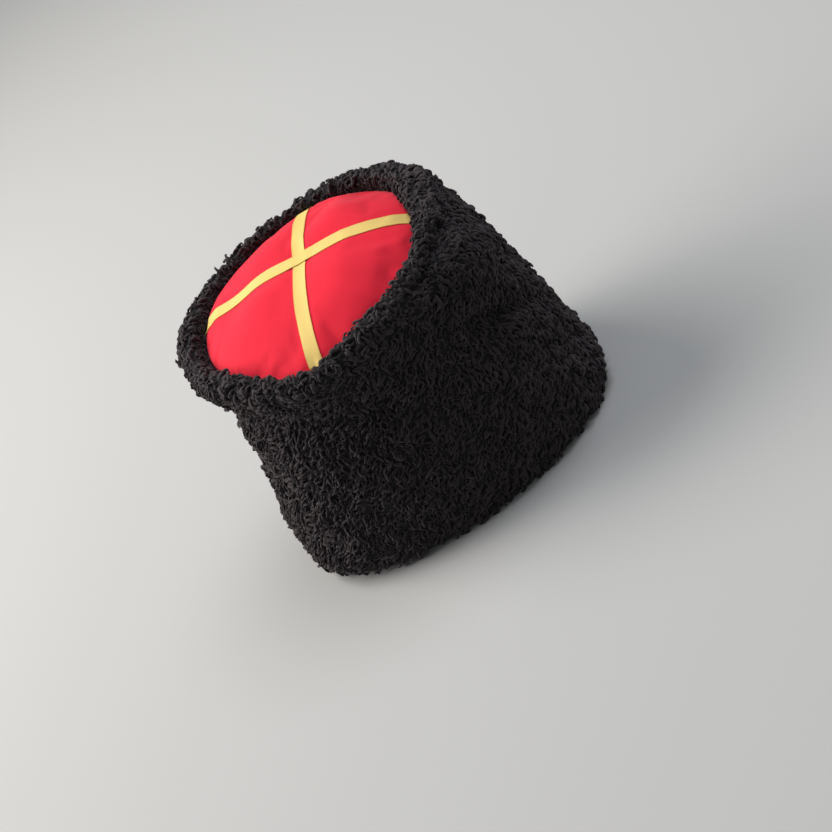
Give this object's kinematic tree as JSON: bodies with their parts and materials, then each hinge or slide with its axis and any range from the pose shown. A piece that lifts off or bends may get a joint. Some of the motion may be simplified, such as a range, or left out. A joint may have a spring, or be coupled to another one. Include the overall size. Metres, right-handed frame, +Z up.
{
  "type": "papakha fur hat",
  "caption": "Tall hollow hat of black curly fleece with a puffy rolled rim, a padded red cloth crown and a yellow ribbon cross, standing on its turned hem.",
  "frame": {"origin": "middle of the box of the turned hem's face, on which the hat stands", "axes": "+X towards the wearer's front, +Y towards the wearer's left, +Z up through the crown"},
  "size_m": [0.2392, 0.1873, 0.1872],
  "materials": {
    "fleece": "black curly sheep's fleece, matt with a faint warm sheen on the curls",
    "crown_cloth": "plain-woven bright red cloth over thin wadding, matt",
    "ribbon": "yellow ribbed tape with a soft satin sheen"
  },
  "bodies": {
    "root": {"fleece_band": "fleece", "crown_cloth": "crown_cloth", "ribbon_under": "ribbon", "ribbon_over": "ribbon"}
  },
  "joints": []
}
